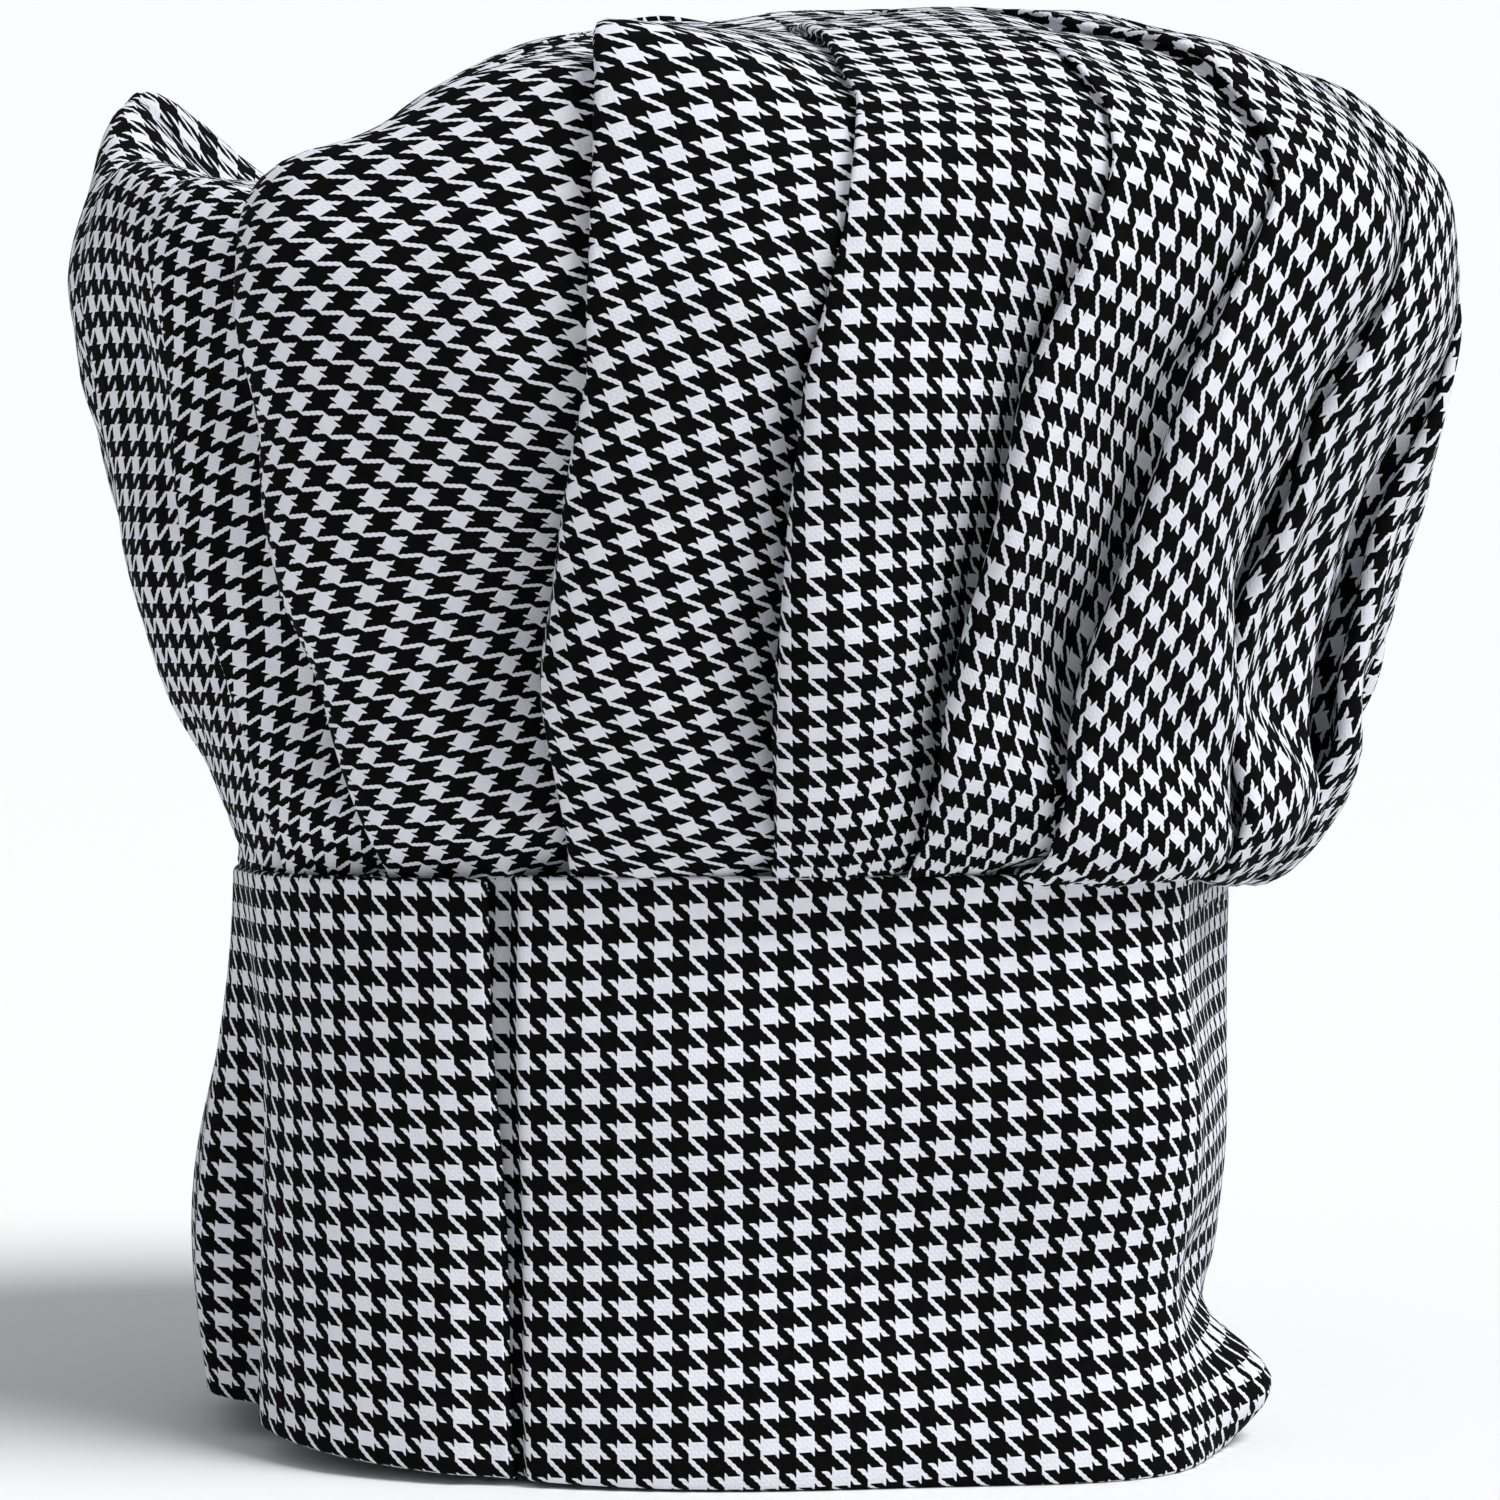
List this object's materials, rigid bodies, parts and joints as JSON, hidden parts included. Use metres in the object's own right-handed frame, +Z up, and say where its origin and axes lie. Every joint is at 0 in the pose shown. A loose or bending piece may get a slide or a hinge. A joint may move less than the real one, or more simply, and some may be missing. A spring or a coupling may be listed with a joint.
{
  "type": "chef toque",
  "caption": "Pleated houndstooth chef's hat: full soft crown gathered into a tall lapped band that closes with a hook-and-loop flap.",
  "frame": {"origin": "centre of the head opening, on the plane of the bottom rim", "axes": "+Z up through the crown, -Y the front where the band laps, +X to the right of that front view"},
  "size_m": [0.2569, 0.246, 0.258],
  "materials": {
    "houndstooth_cloth": "matte twill, black and white houndstooth",
    "facing_cloth": "matte off-white plain weave",
    "interlining": "matte non-woven",
    "binding_tape": "matte bias tape",
    "label_cloth": "smooth woven, blank",
    "loop_pile": "soft looped pile",
    "hook_pile": "nylon hooks",
    "thread": "matte sewing thread"
  },
  "bodies": {
    "toque": {"crown": "houndstooth_cloth", "crown_seam_binding": "binding_tape", "crown_seam_stitching": "thread", "band_outer": "houndstooth_cloth", "band_interlining": "interlining", "band_facing": "facing_cloth", "rim_stitching": "thread", "care_label": "label_cloth", "loop_tape": "loop_pile", "loop_tape_stitching": "thread"},
    "closure_flap": {"flap_outer": "houndstooth_cloth", "flap_interlining": "interlining", "flap_facing": "facing_cloth", "flap_rim_stitching": "thread", "hook_tape": "hook_pile", "hook_tape_stitching": "thread"}
  },
  "joints": [
    {"name": "flap_peel", "type": "hinge", "parent": "toque", "child": "closure_flap", "pos_m": [-0.09055, -0.01961, 0.051], "axis": [0, 0, -1], "range_deg": [0, 80]}
  ]
}
